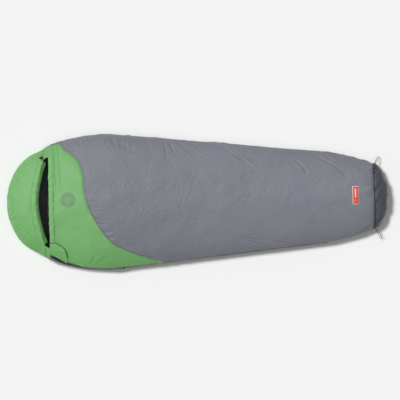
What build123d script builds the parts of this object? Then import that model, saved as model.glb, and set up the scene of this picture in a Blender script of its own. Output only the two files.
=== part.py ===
"""Mummy sleeping bag, lying flat and zipped, with its hood up.

Millimetres. The head is at -X and the foot at +X, the zip runs along the -Y side, +Z is up, and
the origin is on the floor under the middle of the bag.
"""
from build123d import *
from math import atan2, degrees, hypot, pi, radians, tan
import os

os.makedirs("parts", exist_ok=True)

# Whole bag
LENGTH = 2150.0
SEAM_HEIGHT = 55.0            # height of the side seams
WIDE = 450.0                  # half width of every cutting block
HIGH = 260.0                  # top of every cutting block

# Layers, counted as depths under the outer face of the shell
SHELL = 1.0
GAP = 0.3                     # free space between two layers
INSULATION = 20.0
LINING = 0.8
BATT_OUT = SHELL + GAP
BATT_IN = BATT_OUT + INSULATION
LINING_OUT = BATT_IN + GAP
LINING_IN = LINING_OUT + LINING
LAYERS = {"shell": (0, SHELL), "insulation": (BATT_OUT, BATT_IN), "lining": (LINING_OUT, LINING_IN)}

# Sections of the outer face: distance from the head end, half width, underside height, crown height
HEAD_SECTIONS = [
    (0, 45, 30, 78),
    (17, 108, 13, 96),
    (40, 165, 4, 108),
    (75, 218, 0, 119),
    (125, 262, 0, 130),
    (187, 293, 0, 139),
    (258, 333, 0, 148),
    (356, 360, 0, 157),
    (470, 379, 0, 164),
    (590, 385, 0, 167),
]
FOOT_SECTIONS = [
    (1830, 256.5, 0, 138),
    (1940, 232, 0, 133),
    (2030, 204, 0, 125),
    (2075, 187, 0, 118),
    (2105, 165, 4, 110),
    (2132, 125, 13, 98),
    (2150, 70, 30, 82),
]
FOOT_SEAM = 2075.0
THINNEST = 16.0               # a section thinner than this closes the end of an inner layer

# Neck, where the hood bends up from the bag
NECK = 228.0                  # distance of the neck crease from the head end
CREASE = 1.0                  # half the gap at the floor
HOOD_LEAN = 8.0               # lean of the hood's neck edge towards the head, degrees
COLLAR_LEAN = 6.5             # lean of the collar edge towards the foot, degrees

# Face opening and the two drawcord channels
RIM_MIDDLE = 165.0
RIM_CORNER = (214.0, 236.0)   # distance, half width
HEM_WIDTH = 24.0
HEM_THICK = 4.0
CHANNEL = 3.2                 # the square hole that the drawcord runs in
DRAWCORD = 2.4
COLLAR_HEM = (247.0, 271.0)
COLLAR_HEM_Y = (-218.0, 276.0)
DRAFT_COLLAR = (274.0, 304.0)
DRAFT_COLLAR_THICK = 24.0
DRAFT_TUBE_RADIUS = 13.0
DRAFT_TUBE_SPACE = 6.0        # free space between the tube and the lining

# Zip
RISE_START = 450.0            # the zip climbs from the side seam from here to the neck
RISE_PER_MM = 0.18
TAPE = 12.0                   # height of one tape
TAPE_DEPTH = (3.2, 4.2)
COIL = 2.6                    # height of one coil
COIL_DEPTH = (0.5, 3.0)
SLIT = 0.9                    # half the gap between the two coils
GROOVE_DEPTH = 4.6
GROOVE = SLIT + TAPE + 0.4
POCKET = 5.6                  # half height of the slot the slider's back plate runs in
POCKET_DEPTH = 6.2
ZIP_JOIN = 600.0              # straight tapes and coils run on from here
ZIP_END = 1800.0
SLIDER_AT = 655.0
SLIDER = (12.0, 5.2)          # length, half height
PLATE = 1.2
EYE_DEPTH = -2.2              # pivot of the pull, outside the zip's face
PULL = (26.0, 4.0)            # length, half height
TAB = (40.0, 4.5)

# Hook-and-loop neck flap in plan: distance from the head end, y
FLAP_FREE_EDGE = [(242, -228), (268, -226), (308, -246), (332, -276), (339, -308)]
FLAP_HINGE = [(338, -343), (242, -285)]
FLAP_DEPTH = (-3.2, -1.6)
PATCH_AT = (298.0, -272.0)
PATCH = 26.0

# Chest yoke seam in plan, from the upper collar corner to the zip side
YOKE_SEAM = [(299, 329), (368, 273), (421, 207), (440, 97), (458, -11), (522, -143),
             (617, -252), (746, -312), (900, -372)]
YOKE_CORNER = (236.0, 309.0)

LABEL_AT = (1968.0, 7.0)
LABEL_SIZE = (32.0, 98.0)
LABEL_THICK = 0.8
PIPING = (4.0, 2.4)           # width, height
PIPING_FOOT = 6.0             # the piping stops this far above the floor

# Cord lock on the hood's drawcord: distance and y of its middle
LOCK_AT = (204.0, 254.0)
LOCK_RADIUS = 6.5
LOCK_LENGTH = 14.0
LOCK_BORE = 4.7
PLUNGER_RADIUS = 4.4
PLUNGER_OUT = 5.0
PRESS = 3.0
STUB_END = 275.0

# Hang loops of round cord at the two ends of the foot seam: distance from the head end, y, height
LOOP_CORD = 3.0
LOOP_PLUS = [
    (2083, 185, 50), (2090, 196, 47), (2095, 207, 39), (2099, 215, 29), (2102, 220, 20), (2107, 223, 13),
    (2113, 222, 13), (2114, 217, 20), (2109, 211, 30), (2103, 204, 40), (2096, 194, 47), (2088, 184, 50),
]
LOOP_MINUS = [
    (2083, -185, 50), (2089, -200, 49), (2096, -215, 45), (2102, -227, 39), (2107, -236, 33),
    (2113, -241, 29), (2119, -239, 29), (2119, -232, 33), (2114, -223, 39), (2106, -212, 45),
    (2098, -198, 49), (2089, -184, 50),
]


def at(distance):
    """x of a place that many millimetres from the head end."""
    return distance - LENGTH / 2


def section(distance, half_width, low, high):
    """Outline across the bag: crowned top, round sides and a flat underside."""
    flat = 0.7 * half_width
    edge = flat + 0.45 * (half_width - flat)
    shoulder = SEAM_HEIGHT + 0.6 * (high - SEAM_HEIGHT)
    hip = SEAM_HEIGHT - 0.55 * (SEAM_HEIGHT - low)

    def side(sign):
        outer = sign * half_width
        crown = Bezier((0, high), (outer / 2, high), (outer, shoulder), (outer, SEAM_HEIGHT))
        under = Bezier((outer, SEAM_HEIGHT), (outer, hip), (sign * edge, low), (sign * flat, low))
        return [crown, under]

    plane = Plane(origin=(at(distance), 0, 0), x_dir=(0, 1, 0), z_dir=(1, 0, 0))
    return plane * make_face([*side(1), *side(-1), Line((flat, low), (-flat, low))])


def crown_height(distance, y):
    """Height of the shell's outer face over a place on the floor."""
    sections = HEAD_SECTIONS + FOOT_SECTIONS
    pairs = zip(sections, sections[1:])
    before, after = next((a, b) for a, b in pairs if a[0] <= distance <= b[0])
    share = (distance - before[0]) / (after[0] - before[0])
    half_width, high = (before[i] + share * (after[i] - before[i]) for i in (1, 3))
    low, up = 0.0, 1.0
    while up - low > 1e-6:
        t = (low + up) / 2
        reach = half_width * (1.5 * (1 - t) ** 2 * t + 3 * (1 - t) * t**2 + t**3)
        low, up = (t, up) if reach < abs(y) else (low, t)
    rise = (1 - t) ** 3 + 3 * (1 - t) ** 2 * t + 1.8 * (1 - t) * t**2
    return SEAM_HEIGHT + (high - SEAM_HEIGHT) * rise


def rectangle(s_low, s_high, y_low, y_high, z_low=-10.0, z_high=HIGH):
    """Upright box between two distances from the head end."""
    size = (s_high - s_low, y_high - y_low, z_high - z_low)
    middle = (at((s_low + s_high) / 2), (y_low + y_high) / 2, (z_low + z_high) / 2)
    return Pos(middle) * Box(*size)


def side_prism(points, y_low=-WIDE, y_high=WIDE):
    """Block across the bag, outlined from the side as (distance from the head end, height)."""
    face = make_face(Polyline([(at(s), z) for s, z in points], close=True))
    return Pos(0, y_high, 0) * extrude(Plane.XZ * face, y_high - y_low)


def plan_prism(edges, low=-10.0, high=HIGH):
    """Upright block on a closed outline drawn in plan."""
    return Pos(0, 0, low) * extrude(make_face(edges), high - low)


def inside(depth, known={}):
    """The whole bag's shape at a depth under the shell's outer face; a negative depth is outside it."""
    if depth not in known:
        scale = (LENGTH - 2 * depth) / LENGTH

        def faces(sections):
            return [
                section(depth + distance * scale, half_width - depth, low + depth, high - depth)
                for distance, half_width, low, high in sections
                if high - low - 2 * depth > THINNEST
            ]

        known[depth] = loft(faces(HEAD_SECTIONS + FOOT_SECTIONS), ruled=True)
    return known[depth]


def layer(outer, inner, block):
    """Skin of the bag between two depths, within a block."""
    return (inside(outer) & block) - inside(inner)


def write(node, shape):
    """Writes one node, without any crumbs that a cut leaves."""
    solids = sorted(shape.solids(), key=lambda solid: -solid.volume)
    kept = [solid for solid in solids if solid.volume > 0.02 * solids[0].volume]
    for solid in kept:
        if not solid.is_valid:
            print("not valid:", node)
    export_step(kept[0] if len(kept) == 1 else Compound(children=kept), f"parts/{node}.step")


# The blocks that divide the layers
def neck_edge(lean, side, height):
    """Distance from the head end of a neck edge at a height; side is -1 on the hood, 1 on the bag."""
    return NECK + side * (CREASE + height * tan(radians(lean)))


def hood_block():
    edge = [(neck_edge(HOOD_LEAN, -1, z), z) for z in (-10, HIGH)]
    return side_prism([(-60, -10), *edge, (-60, HIGH)])


def body_block():
    edge = [(neck_edge(COLLAR_LEAN, 1, z), z) for z in (HIGH, -10)]
    return side_prism([(FOOT_SEAM, -10), (FOOT_SEAM, HIGH), *edge])


def foot_block():
    return rectangle(FOOT_SEAM, LENGTH + 60, -WIDE, WIDE)


def seam_height(distance):
    """Height of the zip: it climbs towards the neck."""
    return SEAM_HEIGHT + RISE_PER_MM * max(RISE_START - distance, 0)


def upper_block():
    """Everything above the side seams of the bag."""
    plus_side = rectangle(150, LENGTH, 0, WIDE, SEAM_HEIGHT)
    climb = [(s, seam_height(s)) for s in (150, RISE_START, LENGTH)]
    return plus_side + side_prism([*climb, (LENGTH, HIGH), (150, HIGH)], y_high=0)


def yoke_block():
    """Plan of the chest yoke: the neck, the upper edge and the S-shaped seam."""
    seam = Spline([(at(s), y) for s, y in YOKE_SEAM])
    corners = [(YOKE_SEAM[-1][0], -WIDE), (150, -WIDE), (150, YOKE_CORNER[1]), YOKE_CORNER]
    rest = Polyline([seam @ 1, *[(at(s), y) for s, y in corners], seam @ 0])
    return plan_prism([seam, rest])


def rim_arc(shift=0.0):
    """The hood's rim in plan, moved towards the head by shift."""
    s, y = RIM_CORNER
    return ThreePointArc((at(s - shift), -y), (at(RIM_MIDDLE - shift), 0), (at(s - shift), y))


def rim_band(near, far):
    """Plan of a band along the rim, from near to far behind it."""
    first, second = rim_arc(near), rim_arc(far)
    return plan_prism([first, Line(first @ 1, second @ 1), second, Line(second @ 0, first @ 0)])


def face_opening():
    arc = rim_arc()
    rest = Polyline([arc @ 1, (at(300), RIM_CORNER[1]), (at(300), -RIM_CORNER[1]), arc @ 0])
    return plan_prism([arc, rest], low=SEAM_HEIGHT)


# The straight stretch of the zip has its own axes: along it, into the bag and up
def zip_axes():
    start, end = HEAD_SECTIONS[-1], FOOT_SECTIONS[0]
    turn = degrees(atan2(start[1] - end[1], end[0] - start[0]))
    return Location((at(start[0]), -start[1], SEAM_HEIGHT), (0, 0, turn))


def along_zip(distance):
    start, end = HEAD_SECTIONS[-1], FOOT_SECTIONS[0]
    stretch = hypot(end[0] - start[0], end[1] - start[1]) / (end[0] - start[0])
    return (distance - start[0]) * stretch


def zip_box(x_low, x_high, d_low, d_high, z_low, z_high):
    """Box in the zip's axes, from one depth into the bag to another."""
    middle = ((x_low + x_high) / 2, (d_low + d_high) / 2, (z_low + z_high) / 2)
    return zip_axes() * Pos(middle) * Box(x_high - x_low, d_high - d_low, z_high - z_low)


def neck_band(z_low, z_high, start=150.0):
    """Block that follows the zip from the neck to the straight stretch, between two heights over it."""
    turns = [start, RISE_START, ZIP_JOIN + 5]
    lower = [(s, seam_height(s) + z_low) for s in turns]
    upper = [(s, seam_height(s) + z_high) for s in reversed(turns)]
    return side_prism([*lower, *upper], y_high=-150.0)


def zip_strip(depths, z_low, z_high, start=150.0):
    """Strip of the zip between two depths and two heights, from the neck to the foot end."""
    neck = layer(*depths, neck_band(z_low, z_high, start) & body_block())
    return neck + zip_box(along_zip(ZIP_JOIN), along_zip(ZIP_END), *depths, z_low, z_high)


def zip_groove():
    """Room that the layers leave for the tapes and the slider."""
    neck = neck_band(-GROOVE, GROOVE) - inside(GROOVE_DEPTH)
    end = along_zip(ZIP_END) + 8
    straight = zip_box(along_zip(ZIP_JOIN), end, -20, GROOVE_DEPTH, -GROOVE, GROOVE)
    pocket = zip_box(along_zip(SLIDER_AT) - 12, end, 0, POCKET_DEPTH, -POCKET, POCKET)
    return neck + straight + pocket


def make_body():
    region, upper, groove = body_block(), upper_block(), zip_groove()
    top_region = (region & upper) - groove
    bottom_region = (region - upper) - groove
    yoke = yoke_block()
    top_shell = layer(*LAYERS["shell"], top_region)
    write("chest_yoke", top_shell & yoke)
    write("top_shell", top_shell - yoke)
    write("bottom_shell", layer(*LAYERS["shell"], bottom_region))
    for name in ("insulation", "lining"):
        write(f"top_{name}", layer(*LAYERS[name], top_region))
        write(f"bottom_{name}", layer(*LAYERS[name], bottom_region))
    for name, depths in LAYERS.items():
        write(f"foot_{name}", layer(*depths, foot_block()))


def make_hood():
    region, opening = hood_block(), face_opening()
    upper = rectangle(-60, 300, -WIDE, WIDE, SEAM_HEIGHT)
    front, back = (region & upper) - opening, region - upper
    for name, depths in LAYERS.items():
        write(f"hood_{name}", layer(*depths, front))
        write(f"hood_back_{name}", layer(*depths, back))


def channel(band, hole, cord):
    """A hem over the shell's face with the drawcord in its channel: the hem and the cord."""
    middle = -HEM_THICK / 2
    tube = layer(middle - CHANNEL / 2, middle + CHANNEL / 2, hole)
    hem = layer(-HEM_THICK, 0, band) - tube
    return hem, layer(middle - DRAWCORD / 2, middle + DRAWCORD / 2, cord)


def lock_middle():
    """The cord lock lies on the hood beside the rim's upper corner."""
    s, y = LOCK_AT
    return s, y, crown_height(s + LOCK_LENGTH / 2, y - LOCK_RADIUS) + LOCK_RADIUS + 0.5


def make_hems():
    middle = HEM_WIDTH / 2
    over = rectangle(-60, 300, -WIDE, WIDE, SEAM_HEIGHT) & hood_block()
    hole = rim_band(middle - CHANNEL / 2, middle + CHANNEL / 2) & over
    cord = rim_band(middle - DRAWCORD / 2, middle + DRAWCORD / 2) & over
    hem, cord = channel(rim_band(0, HEM_WIDTH) & over, hole, cord)
    write("hood_hem", hem)
    s, y, z = lock_middle()
    stub = Pos(at(s), (RIM_CORNER[1] + STUB_END) / 2, z) * Rot(90, 0, 0) * Cylinder(
        DRAWCORD / 2, STUB_END - RIM_CORNER[1]
    )
    write("hood_drawcord", cord)
    write("hood_drawcord_end", stub)

    s_low, s_high = COLLAR_HEM
    s_mid = (s_low + s_high) / 2
    height = SEAM_HEIGHT + 12
    band = rectangle(s_low, s_high, *COLLAR_HEM_Y, height)
    hole = rectangle(s_mid - CHANNEL / 2, s_mid + CHANNEL / 2, *COLLAR_HEM_Y, height)
    cord = rectangle(s_mid - DRAWCORD / 2, s_mid + DRAWCORD / 2, *COLLAR_HEM_Y, height)
    hem, cord = channel(band, hole, cord)
    write("collar_hem", hem)
    write("collar_drawcord", cord)


def make_drafts():
    """The insulated collar inside the neck and the insulated tube behind the zip."""
    outer = LINING_IN + GAP
    block = rectangle(*DRAFT_COLLAR, -250, 250, SEAM_HEIGHT + 20)
    write("draft_collar", layer(outer, outer + DRAFT_COLLAR_THICK, block))
    depth = LINING_IN + DRAFT_TUBE_RADIUS + DRAFT_TUBE_SPACE
    foot_end = (zip_axes() * Pos(along_zip(ZIP_END), depth, 0)).position
    shoulder = (zip_axes() * Pos(along_zip(ZIP_JOIN), depth, 0)).position
    path = FilletPolyline(foot_end, shoulder, (at(350), -357 + depth, SEAM_HEIGHT), radius=400)
    ring = Plane(origin=path @ 0, z_dir=path % 0) * Circle(DRAFT_TUBE_RADIUS)
    write("draft_tube", sweep(ring, path=path))


def make_zip():
    for name, sign in (("upper", 1), ("lower", -1)):
        tape = sorted((sign * SLIT, sign * (SLIT + TAPE)))
        coil = sorted((sign * SLIT, sign * (SLIT + COIL)))
        write(f"zip_tape_{name}", zip_strip(TAPE_DEPTH, *tape))
        write(f"zip_coil_{name}", zip_strip(COIL_DEPTH, *coil, start=262.0))
    stops = []
    for sign in (1, -1):
        coil = sorted((sign * SLIT, sign * (SLIT + COIL)))
        block = neck_band(*coil) & rectangle(257, 261.5, -WIDE, -150)
        stops += layer(*COIL_DEPTH, block).solids()
    write("zip_top_stops", Compound(children=stops))
    end = along_zip(ZIP_END)
    write("zip_box_stop", zip_box(end + 0.3, end + 6, -0.8, GROOVE_DEPTH - 0.2, -5, 5))


def make_slider():
    length, half = SLIDER
    mid = along_zip(SLIDER_AT)
    back = TAPE_DEPTH[1] + GAP
    face = COIL_DEPTH[0] - GAP
    plate = zip_box(mid - length / 2, mid + length / 2, face - PLATE, face, -half, half)
    rear = zip_box(mid - length / 2, mid + length / 2, back, back + PLATE, -half, half)
    rail_in = SLIT + COIL + GAP
    rail_depth = TAPE_DEPTH[0] - GAP
    rails = [
        zip_box(mid - length / 2, mid + length / 2, face, rail_depth, min(a, b), max(a, b))
        for a, b in ((rail_in, half), (-rail_in, -half))
    ]
    post = zip_box(mid - length / 2, mid - length / 2 + 3, face, back, -SLIT + GAP, SLIT - GAP)
    bail_top = EYE_DEPTH - 1.0
    legs = [zip_box(mid + a, mid + a + 1.6, bail_top, face - PLATE, -1.2, 1.2) for a in (-3.2, 1.6)]
    bridge = zip_box(mid - 3.2, mid + 3.2, bail_top - PLATE, bail_top, -1.2, 1.2)
    body = plate + rear + post + bridge
    for piece in (*rails, *legs):
        body += piece
    write("zip_slider", body)

    pull_length, pull_half = PULL
    pin = zip_axes() * Pos(mid, EYE_DEPTH, 0) * Cylinder(0.6, 2 * pull_half)
    cheeks = [
        zip_axes() * Pos(mid, EYE_DEPTH, sign * (pull_half - 1)) * Cylinder(0.75, 2) for sign in (1, -1)
    ]
    arms = [
        zip_box(mid - 6, mid, EYE_DEPTH - 0.6, EYE_DEPTH + 0.6, min(a, b), max(a, b))
        for a, b in ((pull_half - 2, pull_half), (2 - pull_half, -pull_half))
    ]
    blade = zip_box(mid - pull_length, mid - 4.4, EYE_DEPTH - 0.6, EYE_DEPTH + 0.6, -pull_half, pull_half)
    hole = zip_box(mid - pull_length + 2, mid - pull_length + 5, EYE_DEPTH - 2, EYE_DEPTH + 2, -2.5, 2.5)
    pull = pin + blade
    for piece in (*cheeks, *arms):
        pull += piece
    write("zip_pull", pull - hole)

    tab_length, tab_half = TAB
    near = mid - pull_length - 0.3
    tab = zip_box(near - tab_length, near, EYE_DEPTH - 0.9, EYE_DEPTH + 0.9, -tab_half, tab_half)
    write("zip_pull_tab", tab)


def make_flap():
    free = Spline([(at(s), y) for s, y in FLAP_FREE_EDGE])
    corners = [(at(s), y) for s, y in FLAP_HINGE]
    outline = plan_prism([free, Polyline([free @ 1, *corners, free @ 0])], low=SEAM_HEIGHT)
    write("neck_flap", layer(*FLAP_DEPTH, outline))
    s, y = PATCH_AT
    square = rectangle(s - PATCH / 2, s + PATCH / 2, y - PATCH / 2, y + PATCH / 2, SEAM_HEIGHT)
    write("hook_patch", layer(FLAP_DEPTH[1], FLAP_DEPTH[1] + 0.7, square))
    write("loop_patch", layer(-0.6, 0, square))


def make_trim():
    s, y = LABEL_AT
    width, length = LABEL_SIZE
    square = rectangle(s - width / 2, s + width / 2, y - length / 2, y + length / 2, SEAM_HEIGHT)
    write("label", layer(-LABEL_THICK, 0, square))
    width, height = PIPING
    band = rectangle(FOOT_SEAM - width / 2, FOOT_SEAM + width / 2, -WIDE, WIDE, PIPING_FOOT)
    write("foot_piping", layer(-height, 0, band))


def make_cord_lock():
    s, y, z = lock_middle()
    lying = Pos(at(s), y, z) * Rot(0, 90, 0)
    half = LOCK_LENGTH / 2
    floor = 2.0
    barrel = Cylinder(LOCK_RADIUS, LOCK_LENGTH) - Pos(0, 0, -floor) * Cylinder(LOCK_BORE, LOCK_LENGTH)
    cross = Rot(90, 0, 0) * Cylinder(DRAWCORD / 2 + 0.5, 40)
    write("cord_lock_barrel", lying * (barrel - cross))
    inner = half - floor - GAP - PRESS - 0.5
    plunger = Pos(0, 0, (inner - half - PLUNGER_OUT) / 2) * Cylinder(
        PLUNGER_RADIUS, inner + half + PLUNGER_OUT
    )
    slot_half = DRAWCORD / 2 + 0.5
    slot = Pos(0, 0, -PRESS / 2) * Box(2 * slot_half, 40, 2 * slot_half + PRESS)
    write("cord_lock_plunger", lying * (plunger - slot))
    coil = Cylinder(3.0, PRESS + 0.5) - Cylinder(2.2, PRESS + 0.5)
    write("cord_lock_spring", lying * Pos(0, 0, inner + GAP / 2 + (PRESS + 0.5) / 2) * coil)


def make_hang_loops():
    """Each loop is one cord whose two ends are sewn into the foot seam."""
    for node, points in (("hang_loop_plus", LOOP_PLUS), ("hang_loop_minus", LOOP_MINUS)):
        route = [Vector(at(s), y, z) for s, y, z in points]
        runs = [b - a for a, b in zip(route, route[1:])]
        turns = [radians(a.get_angle(b)) for a, b in zip(runs, runs[1:])]
        radii = [
            0.45 * min(a.length, b.length) / tan(turn / 2)
            for a, b, turn in zip(runs, runs[1:], turns)
        ]
        print(node, "radii", [round(r, 1) for r in radii], "turns", [round(degrees(t)) for t in turns],
              "runs", [round(r.length, 1) for r in runs])
        path = FilletPolyline(*route, radius=radii)
        ring = Plane(origin=path @ 0, z_dir=path % 0) * Circle(LOOP_CORD / 2)
        tube = sweep(ring, path=path)
        print(node, "length", round(path.length, 1), "volume", round(tube.volume, 1),
              "section times length", round(pi * LOOP_CORD**2 / 4 * path.length, 1))
        write(node, tube)


make_body()
make_hood()
make_hems()
make_drafts()
make_zip()
make_slider()
make_flap()
make_trim()
make_cord_lock()
make_hang_loops()
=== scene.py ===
import math

import bmesh
import bpy
import numpy as np
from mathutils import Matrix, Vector
from mathutils.bvhtree import BVHTree


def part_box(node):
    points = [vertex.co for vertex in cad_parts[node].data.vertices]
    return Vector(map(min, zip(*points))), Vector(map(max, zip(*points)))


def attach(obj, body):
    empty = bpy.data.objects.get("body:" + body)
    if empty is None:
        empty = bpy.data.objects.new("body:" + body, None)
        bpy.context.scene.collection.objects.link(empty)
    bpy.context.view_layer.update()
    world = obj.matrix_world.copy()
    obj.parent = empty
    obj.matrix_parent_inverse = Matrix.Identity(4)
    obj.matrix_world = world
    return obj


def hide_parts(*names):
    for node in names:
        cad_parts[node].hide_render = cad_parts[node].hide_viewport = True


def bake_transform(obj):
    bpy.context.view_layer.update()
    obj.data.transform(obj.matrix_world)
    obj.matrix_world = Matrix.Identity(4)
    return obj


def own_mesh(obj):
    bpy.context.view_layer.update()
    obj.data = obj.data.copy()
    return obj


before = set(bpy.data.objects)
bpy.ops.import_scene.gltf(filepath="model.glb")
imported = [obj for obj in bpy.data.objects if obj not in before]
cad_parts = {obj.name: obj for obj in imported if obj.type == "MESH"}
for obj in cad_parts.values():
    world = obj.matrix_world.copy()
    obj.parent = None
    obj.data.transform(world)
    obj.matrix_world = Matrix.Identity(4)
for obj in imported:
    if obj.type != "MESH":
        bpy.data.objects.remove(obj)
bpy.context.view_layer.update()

bl_info = {
    "name": "Mummy sleeping bag",
    "version": (1, 0, 0),
    "blender": (4, 5, 0),
    "location": "3D View > Sidebar > Sleeping bag",
    "description": "Builds the shells, hems, zip, trim and stage of a mummy sleeping bag around its frame",
    "category": "Object",
}

# Distances run from the head end towards the foot; turns run round the section from -1 at the zip side to 1
HEAD_X = -1.075
LENGTH = 2.15
SEAM_HEIGHT = 0.055
NECK = 0.228
FOOT_SEAM = 2.075
LINING_END = 2.125
# Distance, half width, underside height, crown height
SECTIONS = np.array([
    (0.000, 0.045, 0.030, 0.078), (0.017, 0.108, 0.013, 0.096), (0.040, 0.165, 0.004, 0.108),
    (0.075, 0.218, 0.001, 0.119), (0.125, 0.262, 0.001, 0.130), (0.187, 0.293, 0.001, 0.139),
    (0.258, 0.333, 0.001, 0.148), (0.356, 0.360, 0.001, 0.157), (0.470, 0.379, 0.001, 0.164),
    (0.590, 0.385, 0.001, 0.167), (0.615, 0.38241, 0.001, 0.16642), (1.000, 0.34251, 0.001, 0.15741),
    (1.410, 0.30002, 0.001, 0.14782), (1.780, 0.26168, 0.001, 0.13917),
    (1.830, 0.2565, 0.001, 0.138), (1.940, 0.232, 0.001, 0.133), (2.030, 0.204, 0.001, 0.125),
    (2.075, 0.187, 0.001, 0.118), (2.105, 0.165, 0.004, 0.110), (2.132, 0.125, 0.013, 0.098),
    (2.150, 0.070, 0.030, 0.082),
])
# The yoke's seam: share of the half width (the zip side is -1), distance from the head end
YOKE_SEAM = np.array([
    (-1.0, 0.895), (-0.93, 0.812), (-0.846, 0.746), (-0.66, 0.617), (-0.375, 0.522), (-0.029, 0.458),
    (0.259, 0.440), (0.557, 0.421), (0.754, 0.368), (0.88, 0.323), (0.954, 0.299), (0.972, 0.262),
    (0.98, 0.232),
])
YOKE_EDGE = 0.98
YOKE_OVERLAP = 0.010
RIM_MIDDLE, RIM_CORNER, RIM_HALF = 0.165, 0.214, 0.236
RIM_HEM, COLLAR_HEM, HEM_LIFT = 0.026, 0.030, 0.0050
HEM_INNER = 0.020
LINING_DEPTH = 0.020
# The edges on both sides of the neck lean away from it with height
COLLAR_LEAN = math.tan(math.radians(6.5))
HOOD_LEAN = -math.tan(math.radians(8))
# The zip climbs from the side seam as it nears the neck; the covers stay a gap apart as far as its foot end
ZIP_CLIMB_START, ZIP_CLIMB = 0.45, 0.18
ZIP_END = 1.80
ZIP_GAP = 0.007
ZIP_FADE = 0.04
FLOOR_CLEARANCE = 0.0006
STITCH_LENGTH, STITCH_THICKNESS = 0.0034, 0.00055


def hermite(xs, ys, x):
    """Smooth curve through points that doesn't overshoot them."""
    xs, ys, x = np.asarray(xs, float), np.asarray(ys, float), np.asarray(x, float)
    slope = np.diff(ys) / np.diff(xs)
    mid = np.zeros_like(ys)
    keep = slope[:-1] * slope[1:] > 0
    mid[1:-1][keep] = 2 * slope[:-1][keep] * slope[1:][keep] / (slope[:-1] + slope[1:])[keep]
    mid[0], mid[-1] = slope[0], slope[-1]
    i = np.clip(np.searchsorted(xs, x) - 1, 0, len(xs) - 2)
    h = xs[i + 1] - xs[i]
    t = np.clip((x - xs[i]) / h, 0, 1)
    return (
        (2 * t**3 - 3 * t**2 + 1) * ys[i] + (t**3 - 2 * t**2 + t) * h * mid[i]
        + (3 * t**2 - 2 * t**3) * ys[i + 1] + (t**3 - t**2) * h * mid[i + 1]
    )


def profile(distance):
    """Half width, underside height and crown height of the section at a distance."""
    return [hermite(SECTIONS[:, 0], SECTIONS[:, k], distance) for k in (1, 2, 3)]


def cubic_weights(t):
    return (1 - t) ** 3, 3 * (1 - t) ** 2 * t, 3 * (1 - t) * t**2, t**3


def crown_across(t):
    """Share of the half width at a turn from 0 to 1 over the crown."""
    return 1.5 * (1 - t) ** 2 * t + 3 * (1 - t) * t**2 + t**3


def crown_rise(t):
    """Share of the crown's rise over the side seam at a turn from 0 to 1."""
    return (1 - t) ** 3 + 3 * (1 - t) ** 2 * t + 1.8 * (1 - t) * t**2


def lengthwise(distance, depth):
    return HEAD_X + depth + distance * (1 - 2 * depth / LENGTH)


def crown_point(distance, turn, depth=0.0):
    """Point of the upper half, at a depth under its outer face."""
    half, _, high = profile(distance)
    t = np.abs(turn)
    y = np.sign(turn) * (half - depth) * crown_across(t)
    z = SEAM_HEIGHT + (high - depth - SEAM_HEIGHT) * crown_rise(t)
    return np.stack([lengthwise(distance, depth) + 0 * t, y, z], -1)


def under_point(distance, turn, depth=0.0):
    """Point of the lower half: flat up to half a turn, then curved up to the side seam."""
    half, low, _ = profile(distance)
    flat = 0.7 * half
    edge = flat + 0.45 * (half - flat)
    hip = SEAM_HEIGHT - 0.55 * (SEAM_HEIGHT - low - depth)
    t = np.clip((1 - np.abs(turn)) / 0.5, 0, 1)
    first, second, third, fourth = cubic_weights(t)
    curved = first * (half - depth) + second * (half - depth) + third * edge + fourth * flat
    y = np.where(np.abs(turn) < 0.5, flat * np.abs(turn) / 0.5, curved)
    z = first * SEAM_HEIGHT + second * hip + (third + fourth) * (low + depth)
    return np.stack([lengthwise(distance, depth) + 0 * t, np.sign(turn) * y, z + 0 * t], -1)


def turn_at(share):
    """The crown's turn at a share of the half width."""
    turns = np.linspace(0, 1, 400)
    return np.sign(share) * np.interp(np.abs(share), crown_across(turns), turns)


def share_at(turn):
    """Share of the half width at a turn over the crown."""
    return np.sign(turn) * crown_across(np.abs(turn))


def leaned(point, turns, gap, lean, level=NECK, depth=0.0):
    """Distance of an edge at a gap from the neck, leaning with the height that it has at a level."""
    return NECK + gap + point(level + 0 * turns, turns, depth)[..., 2] * lean


def waves(u, v, seed):
    """Smooth noise between -1 and 1 over two coordinates, one wave to a unit."""
    table = np.random.default_rng(seed).uniform(-1, 1, (64, 64))
    i, j = np.floor(u).astype(int), np.floor(v).astype(int)
    a, b = u - i, v - j
    a, b = a * a * (3 - 2 * a), b * b * (3 - 2 * b)
    i, j, k, m = i % 64, j % 64, (i + 1) % 64, (j + 1) % 64
    near = table[i, j] * (1 - a) + table[k, j] * a
    far = table[i, m] * (1 - a) + table[k, m] * a
    return near * (1 - b) + far * b


def normals_of(grid):
    along, over = np.gradient(grid, axis=0), np.gradient(grid, axis=1)
    normal = np.cross(along, over)
    return normal / np.maximum(np.linalg.norm(normal, axis=-1, keepdims=True), 1e-9)


def run_length(grid, axis):
    """Length of cloth from a grid's first row or column to each of its points."""
    step = np.linalg.norm(np.diff(grid, axis=axis), axis=-1)
    start = np.zeros_like(np.take(step, [0], axis=axis))
    return np.concatenate([start, np.cumsum(step, axis=axis)], axis=axis)


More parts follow.
